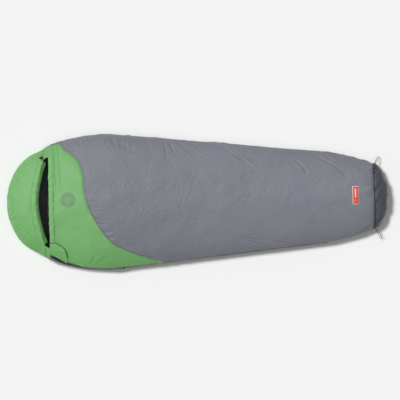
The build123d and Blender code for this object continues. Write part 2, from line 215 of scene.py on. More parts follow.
def puckered(grid, edges, sway, seed, outward=1.0):
    """Pulls a sheet in along its sewn edges, gathers it there and lets it sway between them.

    edges gives each sewn edge its pull, its gathers' height, spacing and reach, and a mask if part is loose.
    """
    along, over = run_length(grid, 0), run_length(grid, 1)
    away = {"start": along, "end": along[-1:] - along, "low": over, "high": over[:, -1:] - over}
    hollows = sway * waves(grid[..., 0] * 4.2 + 7, grid[..., 1] * 5.5 + 3, 11)
    push = hollows + 0.35 * sway * waves(grid[..., 0] * 13 + 2, grid[..., 1] * 15 + 9, 12)
    fade = 1.0
    for number, (name, (pull, height, spacing, reach, *mask)) in enumerate(edges.items()):
        gap = away[name]
        share = mask[0] if mask else 1.0
        side = over if name in ("start", "end") else along
        strength = np.clip(0.55 + 0.8 * waves(side * 6.1, gap * 0 + 5, seed + 60 + number), 0.1, 1.2)
        fade = fade * (1 - np.exp(-(gap / 0.03) ** 2))
        for size, grow in ((1.0, 1.0), (2.3, 0.8)):
            lean = side / (spacing * size) + 0.5 * waves(side * 9 / size, gap * 10 / size, seed + 30 + number)
            gather = np.abs(waves(lean, gap * 5 / size + number, seed + number + int(9 * size)))
            length = size * reach * (0.9 + 0.6 * waves(side * 23 / size, gap * 0 + 2, seed + 90 + number))
            rise = (1.7 * gather - 0.45) * np.exp(-((gap / length) ** 1.5))
            rise = rise * (1 - np.exp(-(gap / 0.008) ** 2))
            push = push + share * grow * height * strength * rise
        push = push - share * pull * np.exp(-(gap / 0.012) ** 2)
    push = push - hollows * (1 - fade)
    return grid + outward * push[..., None] * normals_of(grid)


def creased(grid, gap, side, depth, spacing, centre, spread, seed, outward=1.0):
    """Presses narrow creases into a sheet, across the seam that gap is measured from."""
    lean = side / spacing + 0.8 * waves(side * 4, gap * 0 + 1, seed) * gap / spacing
    lean = lean + 0.3 * waves(side * 20, gap * 18, seed + 1)
    valley = np.exp(-((waves(lean, gap * 3, seed + 2) / 0.17) ** 2))
    strength = np.clip(0.35 + 1.3 * waves(side * 7, gap * 5, seed + 3), 0, 1)
    window = np.exp(-(((gap - centre) / spread) ** 2))
    return grid - outward * (depth * valley * strength * window)[..., None] * normals_of(grid)


def linked(name, mesh):
    """New smooth object of a mesh."""
    obj = bpy.data.objects.new(name, mesh)
    bpy.context.scene.collection.objects.link(obj)
    for polygon in mesh.polygons:
        polygon.use_smooth = True
    return obj


def sheet_object(name, grid, thickness=0.0, closed=False, facing=1):
    """Mesh object on a grid of points, facing away from the bag's middle line, or towards it if facing is -1.

    A thickness is added on the hidden side; closed joins its last column to its first.
    """
    rows, columns = grid.shape[:2]
    index = np.arange(rows * columns).reshape(rows, columns)
    right = np.roll(index, -1, axis=1) if closed else index[:, 1:]
    left = index if closed else index[:, :-1]
    faces = np.stack([left[:-1], right[:-1], right[1:], left[1:]], -1).reshape(-1, 4)
    corners = grid.reshape(-1, 3)[faces]
    middle = corners.mean(axis=1)
    cross = np.cross(corners[:, 2] - corners[:, 0], corners[:, 3] - corners[:, 1])
    out = (cross[:, 1] * middle[:, 1] + cross[:, 2] * 4 * (middle[:, 2] - SEAM_HEIGHT)).sum()
    if out * facing < 0:
        faces = faces[:, ::-1]
    mesh = bpy.data.meshes.new(name)
    mesh.from_pydata(grid.reshape(-1, 3).tolist(), [], faces.tolist())
    mesh.update()
    obj = linked(name, mesh)
    if thickness:
        solid = obj.modifiers.new("thickness", "SOLIDIFY")
        solid.thickness = thickness
        solid.offset = -1
        obj.data = evaluated_mesh(obj)
        obj.modifiers.clear()
        bpy.data.meshes.remove(mesh)
    return obj


def evaluated_mesh(obj):
    depsgraph = bpy.context.evaluated_depsgraph_get()
    return bpy.data.meshes.new_from_object(obj.evaluated_get(depsgraph))


def curve_object(name, lines, kind):
    """Object of a curve through rows of points, and its splines."""
    curve = bpy.data.curves.new(name, "CURVE")
    curve.dimensions = "3D"
    for line in lines:
        spline = curve.splines.new(kind)
        spline.points.add(len(line) - 1)
        for point, place in zip(spline.points, line):
            point.co = (*place, 1)
    obj = bpy.data.objects.new(name, curve)
    bpy.context.scene.collection.objects.link(obj)
    return obj


def meshed(name, holder):
    """Plain mesh object in place of a curve's."""
    mesh = evaluated_mesh(holder)
    mesh.name = name
    curve = holder.data
    bpy.data.objects.remove(holder)
    bpy.data.curves.remove(curve)
    return linked(name, mesh)


def cord_object(name, points, radius, order=3, cyclic=False, sides=4, steps=8):
    """Smooth round line through a row of points, as a live curve."""
    obj = curve_object(name, [points], "NURBS")
    spline, curve = obj.data.splines[0], obj.data
    spline.order_u = order
    spline.use_endpoint_u = not cyclic
    spline.use_cyclic_u = cyclic
    curve.bevel_depth = radius
    curve.bevel_resolution = sides
    curve.resolution_u = steps
    curve.use_fill_caps = not cyclic
    return obj


def tube_object(name, points, radius, order=4, cyclic=False):
    """The same as a plain mesh."""
    return meshed(name, cord_object(name + "_line", points, radius, order, cyclic, sides=3, steps=4))


# Shader node groups
def new_group(name, sockets):
    group = bpy.data.node_groups.new(name, "ShaderNodeTree")
    for label, kind, direction, default in sockets:
        socket = group.interface.new_socket(label, in_out=direction, socket_type=kind)
        if default is not None:
            socket.default_value = default
    return group, group.nodes.new("NodeGroupInput"), group.nodes.new("NodeGroupOutput")


def node(tree, kind, inputs=None, **settings):
    """New node; each input is given a value, or the other node's output that feeds it."""
    made = tree.nodes.new(kind)
    for key, value in settings.items():
        setattr(made, key, value)
    for key, value in (inputs or {}).items():
        if isinstance(value, bpy.types.NodeSocket):
            tree.links.new(value, made.inputs[key])
        else:
            made.inputs[key].default_value = value
    return made


def feed(tree, target, sources):
    """Links outputs to a node's inputs."""
    for key, source in sources.items():
        tree.links.new(source, target.inputs[key])


def cloth_group():
    """Weave, creases and colour drift of a thin woven cloth."""
    group, given, out = new_group("Woven cloth", [
        ("Color", "NodeSocketColor", "INPUT", (0.2, 0.2, 0.2, 1)),
        ("Weave scale", "NodeSocketFloat", "INPUT", 900.0),
        ("Crease", "NodeSocketFloat", "INPUT", 0.5),
        ("Drift", "NodeSocketFloat", "INPUT", 0.1),
        ("Color", "NodeSocketColor", "OUTPUT", None),
        ("Roughness", "NodeSocketFloat", "OUTPUT", None),
        ("Height", "NodeSocketFloat", "OUTPUT", None),
    ])
    given = given.outputs
    place = node(group, "ShaderNodeTexCoord").outputs["Object"]
    warp, weft = [
        node(group, "ShaderNodeTexWave", {
            "Vector": place, "Scale": given["Weave scale"], "Distortion": 0.4, "Detail": 1.0,
        }, wave_type="BANDS", bands_direction=axis).outputs["Fac"]
        for axis in "XY"
    ]
    weave = node(group, "ShaderNodeMath", {0: warp, 1: weft}, operation="MULTIPLY").outputs[0]
    crease = node(group, "ShaderNodeTexNoise", {
        "Vector": place, "Scale": 14.0, "Detail": 6.0, "Roughness": 0.62, "Distortion": 0.9,
    }).outputs["Fac"]
    ridge = node(group, "ShaderNodeMath", {0: crease, 1: given["Crease"]}, operation="MULTIPLY").outputs[0]
    fine = node(group, "ShaderNodeMath", {0: weave, 1: 0.05}, operation="MULTIPLY").outputs[0]
    height = node(group, "ShaderNodeMath", {0: ridge, 1: fine}, operation="ADD").outputs[0]
    blotch = node(group, "ShaderNodeTexNoise", {"Vector": place, "Scale": 3.0, "Detail": 3.0}).outputs["Fac"]
    shade = node(group, "ShaderNodeMapRange", {"Value": blotch, "From Min": 0.3, "From Max": 0.7})
    spread = node(group, "ShaderNodeMath", {
        0: shade.outputs["Result"], 1: given["Drift"], 2: 0.95,
    }, operation="MULTIPLY_ADD").outputs[0]
    thread = node(group, "ShaderNodeMath", {0: weave, 1: 0.10, 2: 0.94}, operation="MULTIPLY_ADD").outputs[0]
    total = node(group, "ShaderNodeMath", {0: spread, 1: thread}, operation="MULTIPLY").outputs[0]
    tint = node(group, "ShaderNodeVectorMath", {0: given["Color"], "Scale": total}, operation="SCALE")
    rough = node(group, "ShaderNodeMapRange", {"Value": blotch, "To Min": 0.42, "To Max": 0.60})
    feed(group, out, {"Color": tint.outputs[0], "Roughness": rough.outputs["Result"], "Height": height})
    return group


def moulded_group():
    """Fine grain and slight wear of moulded plastic or painted metal."""
    group, given, out = new_group("Moulded grain", [
        ("Color", "NodeSocketColor", "INPUT", (0.05, 0.05, 0.05, 1)),
        ("Grain", "NodeSocketFloat", "INPUT", 1500.0),
        ("Color", "NodeSocketColor", "OUTPUT", None),
        ("Roughness", "NodeSocketFloat", "OUTPUT", None),
        ("Height", "NodeSocketFloat", "OUTPUT", None),
    ])
    given = given.outputs
    place = node(group, "ShaderNodeTexCoord").outputs["Object"]
    grain = node(
        group, "ShaderNodeTexNoise", {"Vector": place, "Scale": given["Grain"], "Detail": 4.0}
    ).outputs["Fac"]
    rough = node(group, "ShaderNodeMapRange", {"Value": grain, "To Min": 0.3, "To Max": 0.55})
    shade = node(group, "ShaderNodeMapRange", {"Value": grain, "To Min": 0.8, "To Max": 1.25})
    tint = node(group, "ShaderNodeVectorMath", {
        0: given["Color"], "Scale": shade.outputs["Result"],
    }, operation="SCALE")
    feed(group, out, {"Color": tint.outputs[0], "Roughness": rough.outputs["Result"], "Height": grain})
    return group


def finish_material(name, group, color, values, bump, distance, metallic, sheen):
    """Material that a shader node group gives its colour, roughness and relief."""
    material = bpy.data.materials.new(name)
    material.use_nodes = True
    tree = material.node_tree
    effect = node(tree, "ShaderNodeGroup", node_tree=group)
    for key, value in {"Color": (*color, 1), **values}.items():
        effect.inputs[key].default_value = value
    effect = effect.outputs
    relief = node(tree, "ShaderNodeBump", {
        "Height": effect["Height"], "Strength": bump, "Distance": distance,
    })
    shader = tree.nodes["Principled BSDF"]
    feed(tree, shader, {
        "Base Color": effect["Color"], "Roughness": effect["Roughness"], "Normal": relief.outputs["Normal"],
    })
    shader.inputs["Metallic"].default_value = metallic
    shader.inputs["Sheen Weight"].default_value = sheen
    shader.inputs["Sheen Roughness"].default_value = 0.4
    return material


MATERIALS = {}


def build_materials(colors):
    cloth, moulded = cloth_group(), moulded_group()
    taffeta = {"Weave scale": 700.0, "Crease": 1.0, "Drift": 0.12}
    soft_taffeta = {"Weave scale": 800.0, "Crease": 1.4, "Drift": 0.3}
    tape_weave = {"Weave scale": 420.0, "Crease": 0.4, "Drift": 0.15}
    satin = {"Weave scale": 520.0, "Crease": 0.3, "Drift": 0.1}
    braid = {"Weave scale": 380.0, "Crease": 0.2, "Drift": 0.2}
    pile = {"Weave scale": 300.0, "Crease": 0.6, "Drift": 0.2}
    black = (0.014, 0.014, 0.016)
    # The darker share of the green is painted shade, for the shadow under the neck flap's free edge
    green_thread, green_painted_shade = (tuple(share * c for c in colors.green) for share in (0.62, 0.22))
    # Group, colour, the group's values, bump strength and distance, metallic, sheen
    plans = {
        "grey": (cloth, colors.grey, taffeta, 0.5, 0.012, 0.0, 0.2),
        "green": (cloth, colors.green, taffeta, 0.45, 0.010, 0.0, 0.15),
        "foot": (cloth, colors.foot, taffeta, 0.5, 0.012, 0.0, 0.2),
        "lining": (cloth, colors.lining, soft_taffeta, 0.5, 0.006, 0.0, 0.3),
        "tape": (cloth, black, tape_weave, 0.4, 0.0004, 0.0, 0.1),
        "thread": (cloth, colors.thread, tape_weave, 0.3, 0.0002, 0.0, 0.3),
        "green_thread": (cloth, green_thread, tape_weave, 0.3, 0.0002, 0.0, 0.3),
        "green_painted_shade": (cloth, green_painted_shade, tape_weave, 0.3, 0.0002, 0.0, 0.2),
        "cord": (cloth, (0.035, 0.035, 0.038), braid, 0.6, 0.0005, 0.0, 0.3),
        "binding": (cloth, (0.34, 0.33, 0.32), tape_weave, 0.5, 0.0006, 0.0, 0.2),
        "print": (cloth, colors.emblem, tape_weave, 0.2, 0.0003, 0.0, 0.0),
        "label_red": (cloth, colors.label, satin, 0.5, 0.0005, 0.0, 0.1),
        "label_pale": (cloth, (0.86, 0.80, 0.78), tape_weave, 0.4, 0.0004, 0.0, 0.1),
        "label_orange": (cloth, (0.84, 0.24, 0.16), tape_weave, 0.4, 0.0004, 0.0, 0.1),
        "hook": (cloth, (0.02, 0.02, 0.022), pile, 0.9, 0.001, 0.0, 0.2),
        "coil": (moulded, black, {"Grain": 900.0}, 0.1, 0.0001, 0.0, 0.0),
        "painted": (moulded, (0.02, 0.02, 0.022), {"Grain": 1600.0}, 0.1, 0.0001, 0.4, 0.0),
        "plastic": (moulded, (0.018, 0.022, 0.02), {"Grain": 1200.0}, 0.15, 0.0001, 0.0, 0.0),
        "steel": (moulded, (0.55, 0.55, 0.56), {"Grain": 700.0}, 0.1, 0.0001, 1.0, 0.0),
    }
    for name, (group, color, *rest) in plans.items():
        MATERIALS[name] = finish_material(name, group, tuple(color), *rest)


def paint(obj, name):
    """Gives an object its only material."""
    obj.data.materials.clear()
    obj.data.materials.append(MATERIALS[name])
    return obj


def settle(obj, body, slot, *nodes):
    """Rides the piece on its body; cloth at the neck keeps its place and rides on no body."""
    if body == "neck":
        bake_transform(obj)
    else:
        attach(obj, body)
    if nodes:
        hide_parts(*nodes)
    return obj


# Geometry Nodes: stitches and zip teeth
def row_tree(name, build_piece):
    """Tree that sets one small piece after another along a curve."""
    tree = bpy.data.node_groups.new(name, "GeometryNodeTree")
    tree.interface.new_socket("Geometry", in_out="INPUT", socket_type="NodeSocketGeometry")
    tree.interface.new_socket("Geometry", in_out="OUTPUT", socket_type="NodeSocketGeometry")
    for label, default in (("Spacing", 0.004), ("Length", 0.003), ("Thickness", 0.0006)):
        socket = tree.interface.new_socket(label, in_out="INPUT", socket_type="NodeSocketFloat")
        socket.default_value = default
    tree.interface.new_socket("Material", in_out="INPUT", socket_type="NodeSocketMaterial")
    given, out = tree.nodes.new("NodeGroupInput").outputs, tree.nodes.new("NodeGroupOutput")
    upright = node(tree, "GeometryNodeSetCurveNormal", {"Curve": given["Geometry"]}, mode="Z_UP")
    points = node(tree, "GeometryNodeCurveToPoints", {
        "Curve": upright.outputs["Curve"], "Length": given["Spacing"],
    }, mode="LENGTH").outputs
    copies = node(tree, "GeometryNodeInstanceOnPoints", {
        "Points": points["Points"], "Rotation": points["Rotation"], "Instance": build_piece(tree, given),
    })
    real = node(tree, "GeometryNodeRealizeInstances", {"Geometry": copies.outputs["Instances"]})
    finish = node(tree, "GeometryNodeSetMaterial", {
        "Geometry": real.outputs["Geometry"], "Material": given["Material"],
    })
    feed(tree, out, {"Geometry": finish.outputs["Geometry"]})
    return tree


def stitch_piece(tree, given):
    """A thread's short bar, along the curve."""
    return node(tree, "GeometryNodeMeshCylinder", {
        "Vertices": 6, "Radius": given["Thickness"], "Depth": given["Length"],
    }, fill_type="TRIANGLE_FAN").outputs["Mesh"]


def tooth_piece(tree, given):
    """One turn of the coil: a small rounded block across the tape."""
    size = node(tree, "ShaderNodeCombineXYZ", {
        "X": given["Thickness"], "Y": given["Length"], "Z": given["Thickness"],
    })
    block = node(tree, "GeometryNodeMeshCube", {"Size": size.outputs["Vector"]})
    return node(tree, "GeometryNodeSubdivisionSurface", {
        "Mesh": block.outputs["Mesh"], "Level": 1,
    }).outputs["Mesh"]


ROWS = {}


def row_object(name, lines, kind, spacing, length, thickness, material):
    """Applies a row tree to polylines and keeps the plain mesh."""
    if not ROWS:
        ROWS["stitch"] = row_tree("Stitch row", stitch_piece)
        ROWS["tooth"] = row_tree("Tooth row", tooth_piece)
    holder = curve_object(name + "_line", lines, "POLY")
    modifier = holder.modifiers.new("row", "NODES")
    modifier.node_group = ROWS[kind]
    values = {"Spacing": spacing, "Length": length, "Thickness": thickness, "Material": MATERIALS[material]}
    for item in ROWS[kind].interface.items_tree:
        if item.in_out == "INPUT" and item.name in values:
            modifier[item.identifier] = values[item.name]
    return paint(meshed(name, holder), material)


def on_surface(trees, points, lift):
    """Drops points given as (x, y) onto the shells and lifts them off along the cloth's normal."""
    placed = []
    for x, y in points:
        best = None
        for tree in trees:
            hit, normal, _, _ = tree.ray_cast(Vector((x, y, 0.4)), Vector((0, 0, -1)))
            if hit is not None and (best is None or hit.z > best[0].z):
                best = (hit, normal)
        if best is None:
            raise RuntimeError(f"no cloth under {x:.3f}, {y:.3f}")
        hit, normal = best
        if normal.z < 0:
            normal = -normal
        placed.append(hit + normal * lift)
    return placed


def bvh(*names):
    depsgraph = bpy.context.evaluated_depsgraph_get()
    return [BVHTree.FromObject(bpy.data.objects[name], depsgraph) for name in names]


def rim_distance(y, shift=0.0):
    """Distance of the hood's rim, an arc, or of a line shifted from it towards the head."""
    sag = RIM_CORNER - RIM_MIDDLE
    radius = (RIM_HALF**2 + sag**2) / (2 * sag)
    return RIM_MIDDLE - shift + radius - np.sqrt(np.maximum(radius**2 - np.asarray(y) ** 2, 0))


def smooth_through(points, count=400):
    """Natural cubic spline through a row of points."""
    points = np.asarray(points, float)
    gap = np.linalg.norm(np.diff(points, axis=0), axis=1)
    step = np.concatenate([[0], np.cumsum(gap)])
    size = len(points)
    matrix = np.eye(size)
    right = np.zeros_like(points)
    for k in range(1, size - 1):
        matrix[k, k - 1:k + 2] = gap[k - 1], 2 * (gap[k - 1] + gap[k]), gap[k]
        right[k] = 6 * ((points[k + 1] - points[k]) / gap[k] - (points[k] - points[k - 1]) / gap[k - 1])
    bend = np.linalg.solve(matrix, right)
    where = np.linspace(0, step[-1], count)
    k = np.clip(np.searchsorted(step, where) - 1, 0, size - 2)
    a, b, h = (step[k + 1] - where)[:, None], (where - step[k])[:, None], gap[k][:, None]
    ends = (points[k] / h - bend[k] * h / 6) * a + (points[k + 1] / h - bend[k + 1] * h / 6) * b
    return (bend[k] * a**3 + bend[k + 1] * b**3) / (6 * h) + ends


SEAM_CURVE = smooth_through(YOKE_SEAM)


def yoke_seam_at(share):
    """Distance of the yoke's seam at a share of the half width."""
    return np.interp(share, SEAM_CURVE[:, 0], SEAM_CURVE[:, 1])


def collar_start(turn):
    """Distance of the collar's edge."""
    return leaned(crown_point, turn, 0.001, COLLAR_LEAN, 0.24)


def seam_start(turn):
    """Distance of the yoke's seam."""
    return yoke_seam_at(share_at(turn))


def foot_seam(turn):
    return FOOT_SEAM + 0 * turn


def zip_turn(distance):
    """The crown's turn at the zip, as a positive number: 1 at the side seam, less where the zip climbs."""
    distance = np.asarray(distance, float)
    _, _, high = profile(distance)
    height = ZIP_CLIMB * np.maximum(ZIP_CLIMB_START - distance, 0)
    turns = np.linspace(0, 1, 400)
    return np.interp(-height / (high - SEAM_HEIGHT), -crown_rise(turns), turns)


def zip_gap_share(distance):
    """Share of the gap beside the zip that is left at a distance, fading past the zip's foot end."""
    return np.clip((ZIP_END + ZIP_FADE - np.asarray(distance)) / ZIP_FADE, 0, 1)


def zip_edge_turn(distance):
    """The turn at the cloth's edge beside the zip, a gap above its middle."""
    turn = zip_turn(distance)
    step = 1e-3
    reach = np.linalg.norm(crown_point(distance, -turn + step) - crown_point(distance, -turn), axis=-1) / step
    return turn - ZIP_GAP * zip_gap_share(distance) / reach


def edge_to_edge(start, end, turns, rows):
    """Distances and turns of a grid between two edges given as functions of the turn."""
    first, last = start(turns), end(turns)
    distance = first[None] + np.linspace(0, 1, rows)[:, None] * (last - first)[None]
    return distance, np.broadcast_to(turns[None], distance.shape)


def squeezed(turn, limit):
    """Turns on the zip's side, drawn in so that the side seam comes to a limit."""
    return np.where(turn < -0.5, -0.5 + (turn + 0.5) * (limit - 0.5) / 0.5, turn)


def crown_grid(start, end, turns, rows):
    """Grid on the upper half, ending a gap above the zip."""
    distance, turn = edge_to_edge(start, end, turns, rows)
    return crown_point(distance, squeezed(turn, zip_edge_turn(distance)))


def under_grid(start, end, turns, rows):
    """Grid on the lower half, ending a gap under the zip where the zip runs along the side seam."""
    distance, turn = edge_to_edge(start, end, turns, rows)
    room = ZIP_GAP * zip_gap_share(distance) * np.clip((distance - 0.44) / 0.02, 0, 1)
    return off_floor(under_point(distance, squeezed(turn, 1 - room / 0.16)))


def off_floor(grid):
    grid[..., 2] = np.maximum(grid[..., 2], FLOOR_CLEARANCE)
    return grid


def front_edge(turn):
    """Distance of the hood's front edge: the rim over the face, the neck edge at its sides."""
    turn = np.asarray(turn, float)
    y = crown_point(0.2 + 0 * turn, turn)[..., 1]
    neck = leaned(crown_point, turn, -0.001, HOOD_LEAN, 0.2)
    inner = np.clip((RIM_HALF - np.abs(y)) / 0.012, 0, 1)
    return np.minimum(inner * rim_distance(y) + (1 - inner) * neck, neck)


def side_spread(count):
    """Turns from -1 to 1, closer together towards the side seams."""
    line = np.linspace(-1, 1, count)
    return np.sign(line) * (1 - (1 - np.abs(line)) ** (1 / 0.9))


def cover(name, grid, material, body, slot, *nodes, fill=0.5):
    """Padded cover on a grid."""
    return settle(paint(sheet_object(name, grid), material), body, slot, *nodes)


def top_cover(sway, pucker, crease):
    grid = crown_grid(seam_start, foot_seam, np.linspace(-1, 1, 240), 500)
    grid = puckered(grid, {
        "low": (0.003, 0.45 * pucker, 0.024, 0.040), "high": (0.0025, 0.5 * pucker, 0.024, 0.040),
        "start": (0.003, 0.7 * pucker, 0.020, 0.035), "end": (0.003, 0.9 * pucker, 0.022, 0.055),
    }, sway, 1)
    along, over = run_length(grid, 0), run_length(grid, 1)
    far = over[:, -1:] - over
    grid = creased(grid, over, along, crease, 0.021, 0.115, 0.055, 101)
    grid = creased(grid, far, along, 1.1 * crease, 0.021, 0.115, 0.055, 111)
    grid = creased(grid, along, over, 0.7 * crease, 0.018, 0.030, 0.030, 121)
    grid = creased(grid, along[-1:] - along, over, 1.2 * crease, 0.020, 0.035, 0.035, 131)
    cover("top_cover", grid, "grey", "bag", "grey_shell", "top_shell", "top_insulation", fill=0.55)


def yoke_cover(sway, pucker, crease):
    """The chest yoke, with two folds that run in from its zip-free side."""
    turns = np.linspace(-1, turn_at(YOKE_EDGE), 190)
    grid = crown_grid(collar_start, lambda turn: seam_start(turn) + YOKE_OVERLAP, turns, 150)
    grid = puckered(grid, {
        "low": (0.003, 0.4 * pucker, 0.024, 0.030), "high": (0.003, 0.4 * pucker, 0.02, 0.03),
        "end": (0.008, 0.5 * pucker, 0.019, 0.014), "start": (0.001, 0.4 * pucker, 0.024, 0.02),
    }, 1.1 * sway, 5)
    grid = creased(grid, run_length(grid, 1), run_length(grid, 0), 0.7 * crease, 0.024, 0.10, 0.05, 141)
    distance = grid[..., 0] - HEAD_X
    for line, lean, depth in ((0.288, 0.050, 0.0045), (0.316, 0.085, 0.0030)):
        reach = np.clip((grid[..., 1] + 0.02) / 0.2, 0, 1)
        fold = np.exp(-(((distance - line + lean * (grid[..., 1] - 0.1)) / 0.007) ** 2))
        grid[..., 2] -= depth * reach**2 * (3 - 2 * reach) * fold
    cover("chest_yoke_cover", grid, "green", "bag", "green_shell", "chest_yoke")


def bottom_cover(sway, pucker):
    def start(turn):
        return leaned(under_point, turn, 0.001, COLLAR_LEAN, 0.235)

    grid = under_grid(start, foot_seam, side_spread(150), 330)
    lined = np.clip((grid[:, 0, 0] - HEAD_X - 0.43) / 0.03, 0, 1)[:, None]
    grid = puckered(grid, {
        "low": (0.003, 1.0 * pucker, 0.019, 0.022, lined), "high": (0.0025, 1.2 * pucker, 0.019, 0.024),
        "end": (0.003, 0.8 * pucker, 0.018, 0.015),
    }, 0.6 * sway, 9, -1.0)
    cover("bottom_cover", off_floor(grid), "grey", "bag", "grey_shell", "bottom_shell", "bottom_insulation")


def bottom_wedge(sway, pucker):
    """The bottom cover's wedge above the side seam, where the zip climbs to the neck."""
    start, end = 0.2365, 0.447
    share = np.linspace(0, 1, 36)[None]
    distance = start + np.linspace(0, 1, 90)[:, None] * (end - start) + 0 * share
    upper = np.minimum(2 * zip_turn(distance) - zip_edge_turn(distance), 0.995)
    wedge = crown_point(distance, -(upper + share * (1 - upper)))
    wedge = puckered(wedge[:, ::-1], {"high": (0.003, 0.8 * pucker, 0.019, 0.015)}, 0.3 * sway, 13)
    settle(paint(sheet_object("bottom_cover_neck", wedge), "grey"), "bag", "grey_shell")


def section_ring(distance, over, under):
    """Points round a whole section."""
    return np.concatenate([crown_point(distance + 0 * over, over), under_point(distance + 0 * under, under)])


def foot_cover(pucker):
    """The foot's end, gathered behind its seam and drawn in to a point."""
    over, under = np.linspace(-1, 1, 110), np.linspace(1, -1, 90)[1:-1]
    distances = np.concatenate([np.linspace(FOOT_SEAM, 2.132, 26), np.linspace(2.135, LENGTH, 14)])
    ring = np.array([section_ring(distance, over, under) for distance in distances])
    middle = np.array([ring[-1, :, 0].mean() + 0.003, 0, 0.056])
    closing = [middle + (ring[-1] - middle) * share for share in (0.93, 0.8, 0.6, 0.4, 0.2, 0.08)]
    ring = np.concatenate([ring, np.array(closing)])
    away = run_length(ring, 0)
    around = run_length(ring, 1)
    gather = waves(around / 0.02 + 0.4 * waves(around * 9, away * 12, 44), away * 6, 45)
    corner = 1 + 1.2 * np.exp(-((np.abs(ring[..., 1]) - 0.17) / 0.05) ** 2)
    push = 1.4 * pucker * gather * corner * np.exp(-away / 0.03) * (1 - np.exp(-(away / 0.008) ** 2))
    ripple = 0.9 * pucker * waves(ring[..., 0] * 30 + 3, ring[..., 1] * 30 + 7, 46)
    push += ripple * (1 - np.exp(-(away / 0.03) ** 2))
    push -= 0.003 * np.exp(-(away / 0.010) ** 2)
    fade = np.clip((len(ring) - 4 - np.arange(len(ring))) / 5, 0, 1)[:, None]
    ring = off_floor(ring + (push * fade)[..., None] * normals_of(ring))
    foot = paint(capped(sheet_object("foot_cover", ring, closed=True), ring), "foot")
    settle(foot, "bag", "foot_fabric", "foot_shell", "foot_insulation")


def capped(obj, grid):
    """Closes the last row of a ring with a fan of triangles."""
    mesh = bmesh.new()
    mesh.from_mesh(obj.data)
    mesh.verts.ensure_lookup_table()
    rim = mesh.verts[-grid.shape[1]:]
    centre = mesh.verts.new(grid[-1].mean(axis=0).tolist())
    for first, second in zip(rim, rim[1:] + rim[:1]):
        mesh.faces.new((centre, first, second))
    bmesh.ops.recalc_face_normals(mesh, faces=mesh.faces)
    mesh.to_mesh(obj.data)
    mesh.free()
    for polygon in obj.data.polygons:
        polygon.use_smooth = True
    return obj


def build_covers(sizes):
    top_cover(sizes.sway, sizes.pucker, sizes.crease)
    yoke_cover(sizes.sway, sizes.pucker, sizes.crease)
    bottom_cover(sizes.sway, sizes.pucker)
    bottom_wedge(sizes.sway, sizes.pucker)
    foot_cover(sizes.pucker)


def hood_cover(name, over, sway, pucker, crease, *nodes):
    """Front or back cover of the hood, squeezed flat at the head end."""
    turns = np.linspace(-0.999, 0.999, 220)
    last = front_edge(turns) if over else leaned(under_point, turns, -0.001, HOOD_LEAN, 0.22)
    distance = 0.0008 + (np.linspace(0, 1, 120) ** 1.5)[:, None] * (last[None] - 0.0008)
    grid = (crown_point if over else under_point)(distance, np.broadcast_to(turns[None], distance.shape))
    grid[..., 2] = SEAM_HEIGHT + (grid[..., 2] - SEAM_HEIGHT) * (1 - np.exp(-(distance / 0.012)))
    grid = puckered(grid, {
        "low": (0.003, 0.5 * pucker, 0.026, 0.050), "high": (0.003, 0.5 * pucker, 0.026, 0.050),
        "end": (0.001, 0.5 * pucker, 0.022, 0.02),
    }, (1.5 if over else 0.6) * sway, 21 if over else 27, 1.0 if over else -1.0)
    if over:
        along, across = run_length(grid, 0), run_length(grid, 1)
        grid = creased(grid, across, along, 0.7 * crease, 0.024, 0.09, 0.05, 151)
        grid = creased(grid, across[:, -1:] - across, along, 0.7 * crease, 0.024, 0.09, 0.05, 161)
    else:
        grid = off_floor(grid)
    cover(name, grid, "green", "hood", "green_shell", *nodes)


def neck_gusset():
    """Folded cloth inside the neck gap, from one corner of the face opening under the bag to the other."""
    rows, corner_turn = 34, 0.575
    crown = np.linspace(0.0, 1, 44)
    columns = [(crown_point, turn) for turn in crown]
    columns += [(under_point, turn) for turn in side_spread(90)[::-1][1:-1]]
    columns += [(crown_point, -turn) for turn in crown[::-1]]
    share = np.linspace(0, 1, rows)
    distance = 0.196 + share * 0.062
    grid = np.zeros((rows, len(columns), 3))
    for column, (point, turn) in enumerate(columns):
        if point is crown_point:
            corner = corner_turn + 0.035 * np.sin(np.pi * share)
            turn = math.copysign(1, turn) * (corner + abs(turn) * (1 - corner))
        grid[:, column] = point(distance, turn + 0 * distance, 0.0045)
    around, share = run_length(grid, 1), share[:, None]
    fold = np.sin(np.pi * share) ** 2 * (0.0035 * waves(around / 0.022, share * 2 + 0 * around, 31) - 0.004)
    grid = off_floor(grid - fold[..., None] * normals_of(grid))
    settle(paint(sheet_object("neck_gusset", grid), "green"), "neck", "green_shell")


def lining_cloth(name, body, point, start, end, rows, *nodes):
    """Slack lining between two distances, hanging a little way into the bag."""
    slack, seed = 0.004, 50 + len(name)
    turns = np.linspace(-1, 1, 90)
    distance, turn = edge_to_edge(start, end, turns, rows)
    grid = point(distance, turn, LINING_DEPTH)
    push = slack * waves(grid[..., 0] * 11 + 4, grid[..., 1] * 11 + 6, seed)
    push = push + 0.5 * slack * waves(grid[..., 0] * 30, grid[..., 1] * 34, seed + 1)
    inward = 1.0 if point is under_point else -1.0
    grid = grid + np.abs(push)[..., None] * np.array([0, 0, inward])
    settle(paint(sheet_object(name, grid, facing=-1), "lining"), body, "lining", *nodes)


